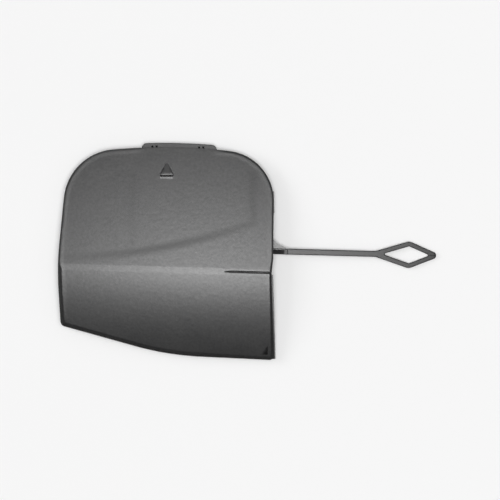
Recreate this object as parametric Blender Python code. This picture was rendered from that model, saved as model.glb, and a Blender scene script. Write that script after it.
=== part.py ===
"""Bumper tow hook cover, moulded in one piece with its tether strap, lying on its back with its face up.

X runs along the bumper, Y runs up it, and Z points out of the face. Sizes are in metres.
The panel is drawn and cut as a flat blank, whose face is at height 0, and is then formed to the bumper's
curve. The tab, the strap and the snap legs are flat or straight on the real moulding, so they are joined
to the formed panel afterwards.
"""

import math

import bmesh
import bpy
from mathutils import Matrix, Vector

# Outline of the face, drawn from the middle of the crease.
PANEL_WIDTH = 0.0939  # along the crease
CREASE_FALL = 0.0028  # from the crease's left end to its right end
CREASE_LEFT_RADIUS = 0.150
CREASE_RIGHT_RADIUS = 0.003
LEFT_SHOULDER_RISE = 0.0513
LEFT_SHOULDER_INSET = 0.0045
LEFT_SHOULDER_RADIUS = 0.0234
RIGHT_SHOULDER_RISE = 0.0501
RIGHT_SHOULDER_OUTSET = 0.00125
RIGHT_SHOULDER_RADIUS = 0.0221
WAIST_RISE = 0.0045  # the right side draws in from here to the crease
WAIST_OUTSET = 0.0007
WAIST_RADIUS = 0.012
CROWN_RISE = 0.0549
CROWN_OFFSET = 0.0027  # to the right of the crease's middle
CROWN_STRAIGHT = 0.0012  # between the crown's arc and the nearer shoulder's arc
RIGHT_FOOT_DROP = 0.0400
RIGHT_FOOT_OUTSET = 0.0009
RIGHT_FOOT_RADIUS = 0.0016
BEND_DROP = 0.0377
BEND_OFFSET = 0.0011
BEND_RADIUS = 0.129
LEFT_FOOT_DROP = 0.0245
LEFT_FOOT_INSET = 0.0012
LEFT_FOOT_RADIUS = 0.0023

# Form of the face.
UPPER_SLOPE_AT_CREASE = math.radians(4.7)
UPPER_SLOPE_AT_TOP = math.radians(8.5)
LOWER_SLOPE_AT_CREASE = math.radians(4)
LOWER_SLOPE_AT_FOOT = math.radians(21)
RIDGE_HALF_WIDTH = 0.0009  # of the level strip along the top of the crease
RIDGE_ROUNDING = 0.0007  # from that strip to the slope on each side
BOW_RADIUS = 1.05  # of the face along the bumper
SKIRT_HEIGHT = 0.0055  # from the table to the face at the right foot

# Walls.
SKIN = 0.0025
RIM = 0.0018
RIM_DEPTH = 0.0095  # behind the face
EDGE_RADIUS = 0.0012
RIB = 0.0012
RIB_HEIGHT = 0.0025
RIBS_UP = (-0.026, 0.0, 0.026)  # places of the ribs that run up the back
RIBS_ALONG = (-0.019, 0.018)  # places of the ribs that run along it

# Groove that carries on the bumper's split line.
GROOVE_WIDTH = 0.0008
GROOVE_DEPTH = 0.0009
GROOVE_LENGTH = 0.0212
GROOVE_RUN_OUT = 0.0036  # its left end gets shallow over this length
GROOVE_START_DEPTH = 0.0001

# Raised triangle that shows where to press.
MARK_WIDTH = 0.0070
MARK_HEIGHT = 0.0066
MARK_FOOT_RISE = 0.0410  # of its base above the crease
MARK_OFFSET = 0.0009
MARK_RADIUS = 0.0006
MARK_STEP_AT_BASE = 0.00050
MARK_STEP_AT_TIP = 0.00015

# Hook tab on the top edge.
TAB_WIDTH = 0.0329
TAB_OFFSET = 0.0063
TAB_REACH = 0.0022  # past the top of the face
TAB_THICKNESS = 0.0018
TAB_LEVEL = 0.0024  # behind the face
TAB_RADIUS = 0.0021
TAB_EDGE = 0.0003
SLOT_WIDTH = 0.0010
SLOT_HEIGHT = 0.0014
SLOT_DEPTH = 0.0013
SLOT_FROM_TIP = 0.0018  # tab's edge to the slot's middle
SLOT_GAP = 0.0009  # between the two slots of a pair
SLOT_PAIR_SPACING = 0.0206
SLOT_OFFSET = -0.0006  # of the two pairs' middle from the tab's middle

# Lug on the upper right side, and lip down the lower right side, measured along Y from the crease's middle.
LUG_TOP = 0.0345
LUG_BOTTOM = 0.0250
LUG_TOP_REACH = 0.0001
LUG_BOTTOM_REACH = 0.0004
LUG_LEVEL = 0.0020
LUG_THICKNESS = 0.0016
LIP_TOP = -0.0023
LIP_BOTTOM = -0.0396
LIP_TOP_REACH = 0.0007
LIP_BOTTOM_REACH = 0.0010
LIP_LEVEL = 0.0024
LIP_THICKNESS = 0.0014

# Tether strap, with the diamond loop that goes over a peg behind the bumper.
STRAP_RISE = 0.0081  # of its root above the middle of the crease
STRAP_LENGTH = 0.0603  # from the side to the middle of the loop
STRAP_WIDTH = 0.0026
STRAP_THICKNESS = 0.0016
STRAP_SKEW = math.radians(-1.55)
STRAP_FROM_RIM = 0.0004  # its back lies this far in front of the rim's back edge
STRAP_FALL = 0.0035  # it sags this far by the end of the loop
STRAP_EDGE = 0.0004
LOOP_HOLE_NEAR = 0.0119  # from the middle of the loop to the hole's corner on the strap's side
LOOP_HOLE_FAR = 0.0092
LOOP_HOLE_HALF_WIDTH = 0.0038
LOOP_HOLE_RADIUS = 0.0005
LOOP_BAR = 0.0021
LOOP_TIP_RADIUS = 0.0016
LOOP_SIDE_RADIUS = 0.0026
GUSSET_LENGTH = 0.0048
GUSSET_WIDTH = 0.0034
RAMP_LENGTH = 0.0059
RAMP_HEIGHT = 0.0034

# Snap legs on the back.
LEG_WIDTH = 0.0080
LEG_THICKNESS = 0.0018
LEG_BARB = 0.0013
LEG_BARB_HEIGHT = 0.0018  # from the leg's end to the barb's point
LEG_LAND = 0.0005
LEG_FROM_RIM = 0.0030
LEG_GUSSET = 0.0012
LEG_GUSSET_LENGTH = 0.0035
LEG_GUSSET_FOOT = 0.0034  # its lower end above the table
LEFT_LEG_RISES = (0.0230, -0.0085)
BOTTOM_LEG_OFFSET = 0.0080

# How finely the form is cut into facets.
PANEL_FACET = 0.0042
STRAP_FACET = 0.0080
ARC_STEP = math.radians(9)
LONGEST_ARC_CHORD = 0.0045
EDGE_SEGMENTS = 3
TAB_TIP_STEPS = 5
FLAT_WITHIN = math.radians(0.1)
SHARP_FROM = math.radians(25)

OVERLAP = 0.0006  # how far a joined shape reaches into what it joins
WELD = 0.0000001
CUT_SNAP = 0.00004  # a cut passes through any point this close to it


def clear_scene():
    for old in list(bpy.data.objects):
        bpy.data.objects.remove(old, do_unlink=True)


def collection(name):
    made = bpy.data.collections.new(name)
    bpy.context.scene.collection.children.link(made)
    return made


def side_directions(corners, i):
    """Unit vectors from corner i to the corners before and after it."""
    here = Vector(corners[i][:2])
    before = (Vector(corners[i - 1][:2]) - here).normalized()
    after = (Vector(corners[(i + 1) % len(corners)][:2]) - here).normalized()
    return before, after


def inset_corners(corners, distance):
    """The corners of the same clockwise outline, moved inwards by distance."""
    moved = []
    for i, (x, y, radius) in enumerate(corners):
        before, after = side_directions(corners, i)
        inwards = Vector((-before.y, before.x)), Vector((after.y, -after.x))
        place = Vector((x, y)) + (inwards[0] + inwards[1]) * distance / (1 + inwards[0].dot(inwards[1]))
        turns_in = before.cross(after) > 0
        moved.append((place.x, place.y, max(radius - distance, RIM / 4) if turns_in else radius + distance))
    return moved


def rounded(corners):
    """Points along a clockwise outline whose corners are arcs: each corner is x, y and its radius."""
    points = []
    for i, (x, y, radius) in enumerate(corners):
        before, after = side_directions(corners, i)
        half = before.angle(after) / 2
        corner = Vector((x, y))
        if radius < WELD:
            points.append(corner)
            continue
        centre = corner + (before + after).normalized() * radius / math.sin(half)
        start = corner + before * radius / math.tan(half) - centre
        end = corner + after * radius / math.tan(half) - centre
        turn = start.angle_signed(end)
        by_length = abs(turn) * radius / LONGEST_ARC_CHORD
        steps = max(2, math.ceil(abs(turn) / ARC_STEP), math.ceil(by_length))
        for step in range(steps + 1):
            points.append(centre + Matrix.Rotation(-turn * step / steps, 2) @ start)
    return points


def arc_reach(corners, i):
    """How far the arc at corner i reaches along the sides from the corner."""
    before, after = side_directions(corners, i)
    return corners[i][2] / math.tan(before.angle(after) / 2)


def with_crown_arc(corners):
    """The same corners, with the crown's arc as wide as the shoulders' arcs leave room for."""
    names = list(corners)
    places = list(corners.values())
    crown = names.index("crown")
    x, y, _ = places[crown]
    sides = [
        (Vector(places[i][:2]) - Vector((x, y))).length - arc_reach(places, i) for i in (crown - 1, crown + 1)
    ]
    before, after = side_directions(places, crown)
    radius = (min(sides) - CROWN_STRAIGHT) * math.tan(before.angle(after) / 2)
    return {**corners, "crown": (x, y, radius)}


def panel_corners():
    """The face's corners, clockwise from the crease's left end."""
    left = -PANEL_WIDTH / 2
    right = PANEL_WIDTH / 2
    corners = {
        "left_crease": (left, CREASE_FALL / 2, CREASE_LEFT_RADIUS),
        "left_shoulder": (left + LEFT_SHOULDER_INSET, LEFT_SHOULDER_RISE, LEFT_SHOULDER_RADIUS),
        "crown": (CROWN_OFFSET, CROWN_RISE, 0),
        "right_shoulder": (right + RIGHT_SHOULDER_OUTSET, RIGHT_SHOULDER_RISE, RIGHT_SHOULDER_RADIUS),
        "waist": (right + WAIST_OUTSET, WAIST_RISE, WAIST_RADIUS),
        "right_crease": (right, -CREASE_FALL / 2, CREASE_RIGHT_RADIUS),
        "right_foot": (right + RIGHT_FOOT_OUTSET, -RIGHT_FOOT_DROP, RIGHT_FOOT_RADIUS),
        "bend": (BEND_OFFSET, -BEND_DROP, BEND_RADIUS),
        "left_foot": (left + LEFT_FOOT_INSET, -LEFT_FOOT_DROP, LEFT_FOOT_RADIUS),
    }
    return with_crown_arc(corners)


def panel_outline(inset=0.0):
    """Points along the face's outline, or along one that lies inside it."""
    corners = list(panel_corners().values())
    return rounded(inset_corners(corners, inset) if inset else corners)


def on_side(start, end, share):
    """The place along the straight line between two named corners, before their rounding."""
    corners = panel_corners()
    return Vector(corners[start][:2]).lerp(Vector(corners[end][:2]), share)


def side_x(y, low, high):
    """Where the straight line between two named corners is, at height y along the bumper."""
    corners = panel_corners()
    share = (y - corners[low][1]) / (corners[high][1] - corners[low][1])
    return on_side(low, high, share).x


def right_side_x(y):
    if y > WAIST_RISE:
        return side_x(y, "waist", "right_shoulder")
    return side_x(y, "right_foot", "right_crease")


def left_side_x(y):
    if y > CREASE_FALL / 2:
        return side_x(y, "left_crease", "left_shoulder")
    return side_x(y, "left_foot", "left_crease")


def top_y(x):
    """Height of the outline's top edge, at place x along the bumper."""
    outline = panel_outline()
    for before, after in zip(outline, outline[1:]):
        if before.x <= x <= after.x:
            return before.lerp(after, (x - before.x) / (after.x - before.x)).y
    raise ValueError("x lies beside the panel")


def side_fall(away, start, end, length):
    """Fall of one side of the face, from a strip along the crease that stays level across."""
    past = away - RIDGE_HALF_WIDTH
    in_rounding = min(max(past, 0), RIDGE_ROUNDING)
    beyond = max(past - RIDGE_ROUNDING, 0)
    near, far = math.tan(start), math.tan(end)
    return near * (in_rounding**2 / (2 * RIDGE_ROUNDING) + beyond) + (far - near) * beyond**2 / (2 * length)


def drop(x, y):
    """How far the formed face lies below the highest point of the crease."""
    rise = y + CREASE_FALL * x / PANEL_WIDTH
    if rise > 0:
        fall = side_fall(rise, UPPER_SLOPE_AT_CREASE, UPPER_SLOPE_AT_TOP, CROWN_RISE)
    else:
        fall = side_fall(-rise, LOWER_SLOPE_AT_CREASE, LOWER_SLOPE_AT_FOOT, RIGHT_FOOT_DROP)
    return fall + x**2 / (2 * BOW_RADIUS)


def face_height(x, y):
    """Height of the formed face above the table."""
    foot_x, foot_y, _ = panel_corners()["right_foot"]
    return SKIRT_HEIGHT + drop(foot_x, foot_y) - drop(x, y)


def formed(point):
    """Where a point of the flat blank comes to lie. The rim's back edge stops at the table."""
    return max(point.z + face_height(point.x, point.y), 0)


def mesh_of(obj, into):
    """Replaces an object by a plain mesh of what its modifiers make."""
    bpy.context.view_layer.update()
    evaluated = obj.evaluated_get(bpy.context.evaluated_depsgraph_get())
    mesh = bpy.data.meshes.new_from_object(evaluated)
    shape = bmesh.new()
    shape.from_mesh(mesh)
    bmesh.ops.remove_doubles(shape, verts=shape.verts, dist=WELD)
    bmesh.ops.recalc_face_normals(shape, faces=shape.faces)
    shape.to_mesh(mesh)
    shape.free()
    made = bpy.data.objects.new(obj.name, mesh)
    into.objects.link(made)
    made.matrix_world = obj.matrix_world.copy()
    name = obj.name
    bpy.data.objects.remove(obj, do_unlink=True)
    made.name = name
    return made


def plate(name, points, low, high, into, edge=0.0, hole=None):
    """A flat outline made solid between two heights, with the edge of its upper face rounded."""
    curve = bpy.data.curves.new(name, "CURVE")
    curve.dimensions = "2D"
    curve.fill_mode = "BOTH"
    curve.extrude = (high - low) / 2
    for outline in (points, hole) if hole else (points,):
        spline = curve.splines.new("POLY")
        spline.points.add(len(outline) - 1)
        for place, point in zip(spline.points, outline):
            place.co = (point[0], point[1], 0, 1)
        spline.use_cyclic_u = True
    flat = bpy.data.objects.new(name, curve)
    flat.location.z = (high + low) / 2
    into.objects.link(flat)
    made = mesh_of(flat, into)
    apply_place(made)
    if edge > 0:
        round_upper_edge(made, high, edge)
    return made


def apply_place(obj):
    """Moves an object's place into its mesh."""
    bpy.context.view_layer.update()
    obj.data.transform(obj.matrix_world)
    obj.matrix_world = Matrix.Identity(4)


def round_upper_edge(obj, height, radius):
    shape = bmesh.new()
    shape.from_mesh(obj.data)
    bmesh.ops.dissolve_limit(shape, angle_limit=FLAT_WITHIN, verts=shape.verts, edges=shape.edges)
    rim = [e for e in shape.edges if all(abs(v.co.z - height) < WELD for v in e.verts)]
    bmesh.ops.bevel(shape, geom=rim, offset=radius, segments=EDGE_SEGMENTS, profile=0.5, affect="EDGES")
    shape.to_mesh(obj.data)
    shape.free()


def joined(body, other, operation="UNION"):
    """The body after a Boolean with another object, which is removed."""
    boolean = body.modifiers.new(operation.lower(), "BOOLEAN")
    boolean.operation = operation
    boolean.solver = "MANIFOLD"
    boolean.object = other
    made = mesh_of(body, body.users_collection[0])
    bpy.data.objects.remove(other, do_unlink=True)
    return made


def box(name, low, high, into):
    """An upright box between two corners."""
    bpy.ops.mesh.primitive_cube_add(size=1)
    made = bpy.context.object
    made.name = name
    for old in made.users_collection:
        old.objects.unlink(made)
    into.objects.link(made)
    low, high = Vector(low), Vector(high)
    made.location = (low + high) / 2
    made.scale = high - low
    apply_place(made)
    return made


def cut_into_facets(obj, spacing, axes):
    """Cuts the mesh with even planes across the given axes, so that it can follow a curve."""
    shape = bmesh.new()
    shape.from_mesh(obj.data)
    for axis in axes:
        normal = Vector((0, 0, 0))
        normal[axis] = 1
        low = min(v.co[axis] for v in shape.verts)
        high = max(v.co[axis] for v in shape.verts)
        count = math.ceil((high - low) / spacing)
        for step in range(1, count):
            through = normal * (low + (high - low) * step / count)
            everything = shape.verts[:] + shape.edges[:] + shape.faces[:]
            bmesh.ops.bisect_plane(shape, geom=everything, dist=CUT_SNAP, plane_co=through, plane_no=normal)
    shape.to_mesh(obj.data)
    shape.free()


def cut_along_crease(obj):
    """Adds the lines where the crease's level strip ends, and where the slopes beside it start."""
    shape = bmesh.new()
    shape.from_mesh(obj.data)
    normal = Vector((CREASE_FALL / PANEL_WIDTH, 1, 0)).normalized()
    for side in (-1, 1):
        for away in (RIDGE_HALF_WIDTH, RIDGE_HALF_WIDTH + RIDGE_ROUNDING):
            everything = shape.verts[:] + shape.edges[:] + shape.faces[:]
            through = (0, side * away, 0)
            bmesh.ops.bisect_plane(shape, geom=everything, dist=CUT_SNAP, plane_co=through, plane_no=normal)
    shape.to_mesh(obj.data)
    shape.free()


def lift(obj, height_of):
    """Sets each point's height from a rule, after splitting the faces into triangles, which stay flat."""
    shape = bmesh.new()
    shape.from_mesh(obj.data)
    bmesh.ops.triangulate(shape, faces=shape.faces)
    for vertex in shape.verts:
        vertex.co.z = height_of(vertex.co)
    shape.to_mesh(obj.data)
    shape.free()


def shell(into):
    """The blank: the face with its rolled edge and the rim behind it."""
    body = plate("tow_hook_cover", panel_outline(), -RIM_DEPTH, 0, into, EDGE_RADIUS)
    hollow = plate("hollow", panel_outline(RIM), -RIM_DEPTH - OVERLAP, -SKIN, into)
    return joined(body, hollow, "DIFFERENCE")


def ribs(into):
    """The crossing ribs behind the face, trimmed to end inside the rim."""
    low, high = -SKIN - RIB_HEIGHT, -SKIN + OVERLAP
    trimmed = plate("rib_field", panel_outline(RIM / 2), low, high, into)
    reach = PANEL_WIDTH
    grid = None
    for x in RIBS_UP:
        rib = box("rib", (x - RIB / 2, -reach, low - OVERLAP), (x + RIB / 2, reach, high + OVERLAP), into)
        grid = joined(grid, rib) if grid else rib
    for y in RIBS_ALONG:
        rib = box("rib", (-reach, y - RIB / 2, low - OVERLAP), (reach, y + RIB / 2, high + OVERLAP), into)
        grid = joined(grid, rib)
    return joined(trimmed, grid, "INTERSECT")


def groove(into):
    """The wedge that cuts the groove: it runs out to nothing at its left end."""
    slant = math.atan2(-CREASE_FALL, PANEL_WIDTH)
    start, end = PANEL_WIDTH / 2 - GROOVE_LENGTH, PANEL_WIDTH / 2 + RIM
    side = [
        (start, OVERLAP),
        (end, OVERLAP),
        (end, -GROOVE_DEPTH),
        (start + GROOVE_RUN_OUT, -GROOVE_DEPTH),
        (start, -GROOVE_START_DEPTH),
    ]
    cutter = plate("groove", side, -GROOVE_WIDTH / 2, GROOVE_WIDTH / 2, into)
    cutter.matrix_world = Matrix.Rotation(slant, 4, "Z") @ Matrix.Rotation(math.pi / 2, 4, "X")
    apply_place(cutter)
    return cutter


def mark(into):
    """The raised triangle, which rises from its tip to its base."""
    base = MARK_FOOT_RISE
    corners = [
        (MARK_OFFSET - MARK_WIDTH / 2, base, MARK_RADIUS),
        (MARK_OFFSET, base + MARK_HEIGHT, MARK_RADIUS),
        (MARK_OFFSET + MARK_WIDTH / 2, base, MARK_RADIUS),
    ]
    made = plate("mark", rounded(corners), -OVERLAP, MARK_STEP_AT_BASE, into, MARK_STEP_AT_TIP)
    for vertex in made.data.vertices:
        if vertex.co.z > 0:
            share = (vertex.co.y - base) / MARK_HEIGHT
            step = MARK_STEP_AT_BASE + (MARK_STEP_AT_TIP - MARK_STEP_AT_BASE) * share
            vertex.co.z *= step / MARK_STEP_AT_BASE
    return made


def side_strip(top, top_reach, bottom, bottom_reach):
    """The outline of a strip that stands out from the right side, by a reach at each of its ends."""
    inner = RIM / 2
    return [
        (right_side_x(top) - inner, top),
        (right_side_x(top) + top_reach, top),
        (right_side_x(bottom) + bottom_reach, bottom),
        (right_side_x(bottom) - inner, bottom),
    ]


def lug(into):
    outline = side_strip(LUG_TOP, LUG_TOP_REACH, LUG_BOTTOM, LUG_BOTTOM_REACH)
    return plate("lug", outline, -LUG_LEVEL - LUG_THICKNESS, -LUG_LEVEL, into)


def lip(into):
    outline = side_strip(LIP_TOP, LIP_TOP_REACH, LIP_BOTTOM, LIP_BOTTOM_REACH)
    return plate("lip", outline, -LIP_LEVEL - LIP_THICKNESS, -LIP_LEVEL, into)


def hook_tab(into):
    """The flat tab behind the top edge, with two pairs of small slots."""
    middle = TAB_OFFSET
    left, right = middle - TAB_WIDTH / 2, middle + TAB_WIDTH / 2
    root = min(top_y(left), top_y(right)) - RIM / 2
    tip = []
    for step in range(TAB_TIP_STEPS + 1):
        x = left + TAB_WIDTH * step / TAB_TIP_STEPS
        tip.append((x, top_y(x) + TAB_REACH, TAB_RADIUS if step in (0, TAB_TIP_STEPS) else 0))
    corners = [(left, root, 0), *tip, (right, root, 0)]
    tab = plate("tab", rounded(corners), -TAB_THICKNESS, 0, into, TAB_EDGE)
    for side in (-1, 1):
        for half in (-1, 1):
            x = middle + SLOT_OFFSET + side * SLOT_PAIR_SPACING / 2 + half * (SLOT_GAP + SLOT_WIDTH) / 2
            y = top_y(x) + TAB_REACH - SLOT_FROM_TIP
            low = (x - SLOT_WIDTH / 2, y - SLOT_HEIGHT / 2, -SLOT_DEPTH)
            high = (x + SLOT_WIDTH / 2, y + SLOT_HEIGHT / 2, OVERLAP)
            tab = joined(tab, box("slot", low, high, into), "DIFFERENCE")
    edge = top_y(middle)
    place = Matrix.Translation((0, edge, face_height(middle, edge) - TAB_LEVEL))
    tilt = Matrix.Rotation(-UPPER_SLOPE_AT_TOP, 4, "X")
    tab.matrix_world = place @ tilt @ Matrix.Translation((0, -edge, 0))
    apply_place(tab)
    return tab


def strap_level(root_x):
    """Height of the strap's upper face where it leaves the side."""
    return face_height(root_x, STRAP_RISE) - RIM_DEPTH + STRAP_FROM_RIM + STRAP_THICKNESS


def loop_hole():
    """The diamond hole seen from above, from the middle of the loop."""
    return [
        (STRAP_LENGTH - LOOP_HOLE_NEAR, 0, LOOP_HOLE_RADIUS),
        (STRAP_LENGTH, LOOP_HOLE_HALF_WIDTH, LOOP_HOLE_RADIUS),
        (STRAP_LENGTH + LOOP_HOLE_FAR, 0, LOOP_HOLE_RADIUS),
        (STRAP_LENGTH, -LOOP_HOLE_HALF_WIDTH, LOOP_HOLE_RADIUS),
    ]


def strap_outline():
    """The strap, its gusset and its loop seen from above, clockwise from inside the rim."""
    half = STRAP_WIDTH / 2
    inside = -RIM / 2
    near = math.atan2(LOOP_HOLE_HALF_WIDTH, LOOP_HOLE_NEAR)
    far = math.atan2(LOOP_HOLE_HALF_WIDTH, LOOP_HOLE_FAR)
    side = LOOP_HOLE_HALF_WIDTH + LOOP_BAR / math.cos((near + far) / 2)
    neck = STRAP_LENGTH - (side - half) / math.tan(near)
    tip = STRAP_LENGTH + LOOP_HOLE_FAR + LOOP_BAR / math.sin(far)
    return [
        (inside, half + GUSSET_WIDTH, 0),
        (0, half + GUSSET_WIDTH, 0),
        (GUSSET_LENGTH, half, LOOP_SIDE_RADIUS),
        (neck, half, LOOP_SIDE_RADIUS),
        (STRAP_LENGTH, side, LOOP_SIDE_RADIUS),
        (tip, 0, LOOP_TIP_RADIUS),
        (STRAP_LENGTH, -side, LOOP_SIDE_RADIUS),
        (neck, -half, LOOP_SIDE_RADIUS),
        (inside, -half, 0),
    ]


def strap(into):
    """The strap, its loop and the flat gusset at its root, with a ramp that braces it against the side."""
    low = -STRAP_THICKNESS
    body = plate("strap", rounded(strap_outline()), low, 0, into, STRAP_EDGE, hole=rounded(loop_hole()))
    end = max(v.co.x for v in body.data.vertices)
    cut_into_facets(body, STRAP_FACET, (0,))
    lift(body, lambda point: point.z - STRAP_FALL * (max(point.x, 0) / end) ** 2)
    inside = -RIM / 2
    side = [
        (inside, low / 2),
        (inside, RAMP_HEIGHT),
        (0, RAMP_HEIGHT),
        (RAMP_LENGTH, -STRAP_EDGE),
        (RAMP_LENGTH, low / 2),
    ]
    ramp_half = STRAP_WIDTH / 2 - STRAP_EDGE
    ramp = plate("ramp", side, -ramp_half, ramp_half, into)
    ramp.matrix_world = Matrix.Rotation(math.pi / 2, 4, "X")
    apply_place(ramp)
    body = joined(body, ramp)
    root = right_side_x(STRAP_RISE)
    place = Matrix.Translation((root, STRAP_RISE, strap_level(root)))
    body.matrix_world = place @ Matrix.Rotation(STRAP_SKEW, 4, "Z")
    apply_place(body)
    return body


def snap_leg(x, y, facing, into):
    """A snap leg behind the face at x, y, with its barb towards facing, and a gusset behind it."""
    top = face_height(x, y) - SKIN + OVERLAP
    thick = LEG_THICKNESS
    profile = [
        (0, 0),
        (LEG_LAND, 0),
        (thick + LEG_BARB, LEG_BARB_HEIGHT),
        (thick + LEG_BARB, LEG_BARB_HEIGHT + LEG_LAND),
        (thick, LEG_BARB_HEIGHT + LEG_LAND + LEG_BARB),
        (thick, top),
        (0, top),
    ]
    leg = plate("leg", profile, -LEG_WIDTH / 2, LEG_WIDTH / 2, into)
    outline = [(thick / 2, top), (-LEG_GUSSET_LENGTH, top), (thick / 2, LEG_GUSSET_FOOT)]
    brace = plate("brace", outline, -LEG_GUSSET / 2, LEG_GUSSET / 2, into)
    leg = joined(leg, brace)
    turn = Matrix.Rotation(facing, 4, "Z") @ Matrix.Rotation(math.pi / 2, 4, "X")
    leg.matrix_world = Matrix.Translation((x, y, 0)) @ turn
    apply_place(leg)
    return leg


def snap_legs(into):
    """Two legs along the left side and one along the bottom."""
    inwards = RIM + LEG_FROM_RIM + LEG_BARB + LEG_THICKNESS
    legs = [snap_leg(left_side_x(y) + inwards, y, math.pi, into) for y in LEFT_LEG_RISES]
    bend_x = panel_corners()["bend"][0]
    foot_x = panel_corners()["right_foot"][0]
    edge = on_side("bend", "right_foot", (BOTTOM_LEG_OFFSET - bend_x) / (foot_x - bend_x)).y
    legs.append(snap_leg(BOTTOM_LEG_OFFSET, edge + inwards, -math.pi / 2, into))
    return legs


def plastic():
    """Dark grey satin plastic."""
    made = bpy.data.materials.new("satin_plastic")
    made.use_nodes = True
    shader = made.node_tree.nodes["Principled BSDF"]
    shader.inputs["Base Color"].default_value = (0.030, 0.031, 0.033, 1)
    shader.inputs["Roughness"].default_value = 0.42
    shader.inputs["Metallic"].default_value = 0
    return made


def stand_on_origin(obj):
    """Moves the mesh so that the origin is at the middle of its box, on the table."""
    points = [v.co for v in obj.data.vertices]
    low = Vector([min(p[i] for p in points) for i in range(3)])
    high = Vector([max(p[i] for p in points) for i in range(3)])
    middle = (low + high) / 2
    obj.data.transform(Matrix.Translation((-middle.x, -middle.y, -low.z)))


def main():
    clear_scene()
    parts = collection("bumper_tow_hook_cover")
    body = shell(parts)
    body = joined(body, ribs(parts))
    for feature in (lug, lip, mark):
        body = joined(body, feature(parts))
    body = joined(body, groove(parts), "DIFFERENCE")
    cut_into_facets(body, PANEL_FACET, (0, 1))
    cut_along_crease(body)
    lift(body, formed)
    body = joined(body, hook_tab(parts))
    body = joined(body, strap(parts))
    for leg in snap_legs(parts):
        body = joined(body, leg)
    stand_on_origin(body)
    body.data.materials.clear()
    body.data.materials.append(plastic())
    body.data.shade_smooth()
    body.data.set_sharp_from_angle(angle=SHARP_FROM)


main()
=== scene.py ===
"""Looks of the bumper tow hook cover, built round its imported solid.

The moulding is made again here with a finer face, rounder edges and the small marks of a real moulding.
It is drawn as a flat blank from the middle of the crease, as the solid is, formed by a geometry tree, and
then moved to where the solid lies. Sizes are in metres.
"""

import math
from contextlib import contextmanager

import bmesh
import bpy
from mathutils import Matrix, Vector
from mathutils.bvhtree import BVHTree


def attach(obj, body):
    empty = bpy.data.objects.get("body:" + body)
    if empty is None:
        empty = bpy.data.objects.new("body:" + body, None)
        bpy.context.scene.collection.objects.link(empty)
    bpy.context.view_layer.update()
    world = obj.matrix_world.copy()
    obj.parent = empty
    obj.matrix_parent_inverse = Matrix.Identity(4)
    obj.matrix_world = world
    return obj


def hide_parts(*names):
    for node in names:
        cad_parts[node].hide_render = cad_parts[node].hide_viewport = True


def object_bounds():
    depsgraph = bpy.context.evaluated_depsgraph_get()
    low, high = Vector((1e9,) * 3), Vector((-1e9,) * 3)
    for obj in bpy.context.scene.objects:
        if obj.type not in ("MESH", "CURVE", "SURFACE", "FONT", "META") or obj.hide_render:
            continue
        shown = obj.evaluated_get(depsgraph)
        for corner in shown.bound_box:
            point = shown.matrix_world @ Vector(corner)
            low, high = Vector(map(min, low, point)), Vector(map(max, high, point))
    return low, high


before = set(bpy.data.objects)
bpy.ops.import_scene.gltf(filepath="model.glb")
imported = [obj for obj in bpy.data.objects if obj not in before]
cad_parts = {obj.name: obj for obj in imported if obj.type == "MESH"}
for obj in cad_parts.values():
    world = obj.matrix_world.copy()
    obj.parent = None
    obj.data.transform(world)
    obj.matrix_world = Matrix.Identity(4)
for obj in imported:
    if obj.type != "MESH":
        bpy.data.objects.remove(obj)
CAD_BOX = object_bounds()

# Outline of the face, drawn from the middle of the crease. Each corner has its x, its y and the radius of
# its arc. The crown's radius follows from the shoulders'.
PANEL_WIDTH = 0.0939
LEFT, RIGHT = -PANEL_WIDTH / 2, PANEL_WIDTH / 2
CREASE_FALL = 0.0028
WAIST_RISE = 0.0045
CROWN_RISE = 0.0549
CROWN_STRAIGHT = 0.0012
RIGHT_FOOT_DROP = 0.0400
CORNERS = {
    "left_crease": (LEFT, CREASE_FALL / 2, 0.150),
    "left_shoulder": (LEFT + 0.0045, 0.0513, 0.0234),
    "crown": (0.0027, CROWN_RISE, 0),
    "right_shoulder": (RIGHT + 0.00125, 0.0501, 0.0221),
    "waist": (RIGHT + 0.0007, WAIST_RISE, 0.012),
    "right_crease": (RIGHT, -CREASE_FALL / 2, 0.003),
    "right_foot": (RIGHT + 0.0009, -RIGHT_FOOT_DROP, 0.0016),
    "bend": (0.0011, -0.0377, 0.129),
    "left_foot": (LEFT + 0.0012, -0.0245, 0.0023),
}

# Form of the face. Its slopes are falls per length, and each grows evenly from the crease.
FORM = {
    "Upper slope at crease": math.tan(math.radians(4.7)),
    "Upper slope at top": math.tan(math.radians(8.5)),
    "Upper length": CROWN_RISE,
    "Lower slope at crease": math.tan(math.radians(4)),
    "Lower slope at foot": math.tan(math.radians(21)),
    "Lower length": RIGHT_FOOT_DROP,
    "Ridge half width": 0.0009,  # of the flat strip along the top of the crease
    "Ridge rounding": 0.0007,  # from that strip to the slopes beside it
    "Bow radius": 1.05,
    "Crease lean": CREASE_FALL / PANEL_WIDTH,
    "Crown height": CAD_BOX[1].z,
}

# Walls.
SKIN = 0.0025
RIM = 0.0018
RIM_DEPTH = 0.0095
LEAST_INNER_RADIUS = RIM / 4  # of a corner of an inset outline
EDGE_WIDTH_ABOVE = 0.0008  # of the rolled edge above the crease
EDGE_WIDTH_BELOW = 0.0017
EDGE_WIDTH_AT_LIP = 0.0010
EDGE_WIDTH_AT_TAB = 0.0004
EDGE_TILT_LEFT = math.radians(32)  # of the rolled edge above the crease, from level
EDGE_TILT_RIGHT = math.radians(15)
EDGE_TILT_AT_CROWN = math.radians(9)
EDGE_TILT_TURN = (-0.4, 0.4)  # shares of the panel's width between which the left tilt becomes the right
CROWN_EDGE_START = (0.7, 0.92)  # shares of the crown's rise between which the crown's tilt sets in
CROWN_EDGE_END = 0.025  # distance to the right at which the crown's flat edge ends
EDGE_TILT_BELOW = math.radians(35)
EDGE_POWER_ABOVE = 1.15  # 2 is a round edge and 1 a plain chamfer
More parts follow.
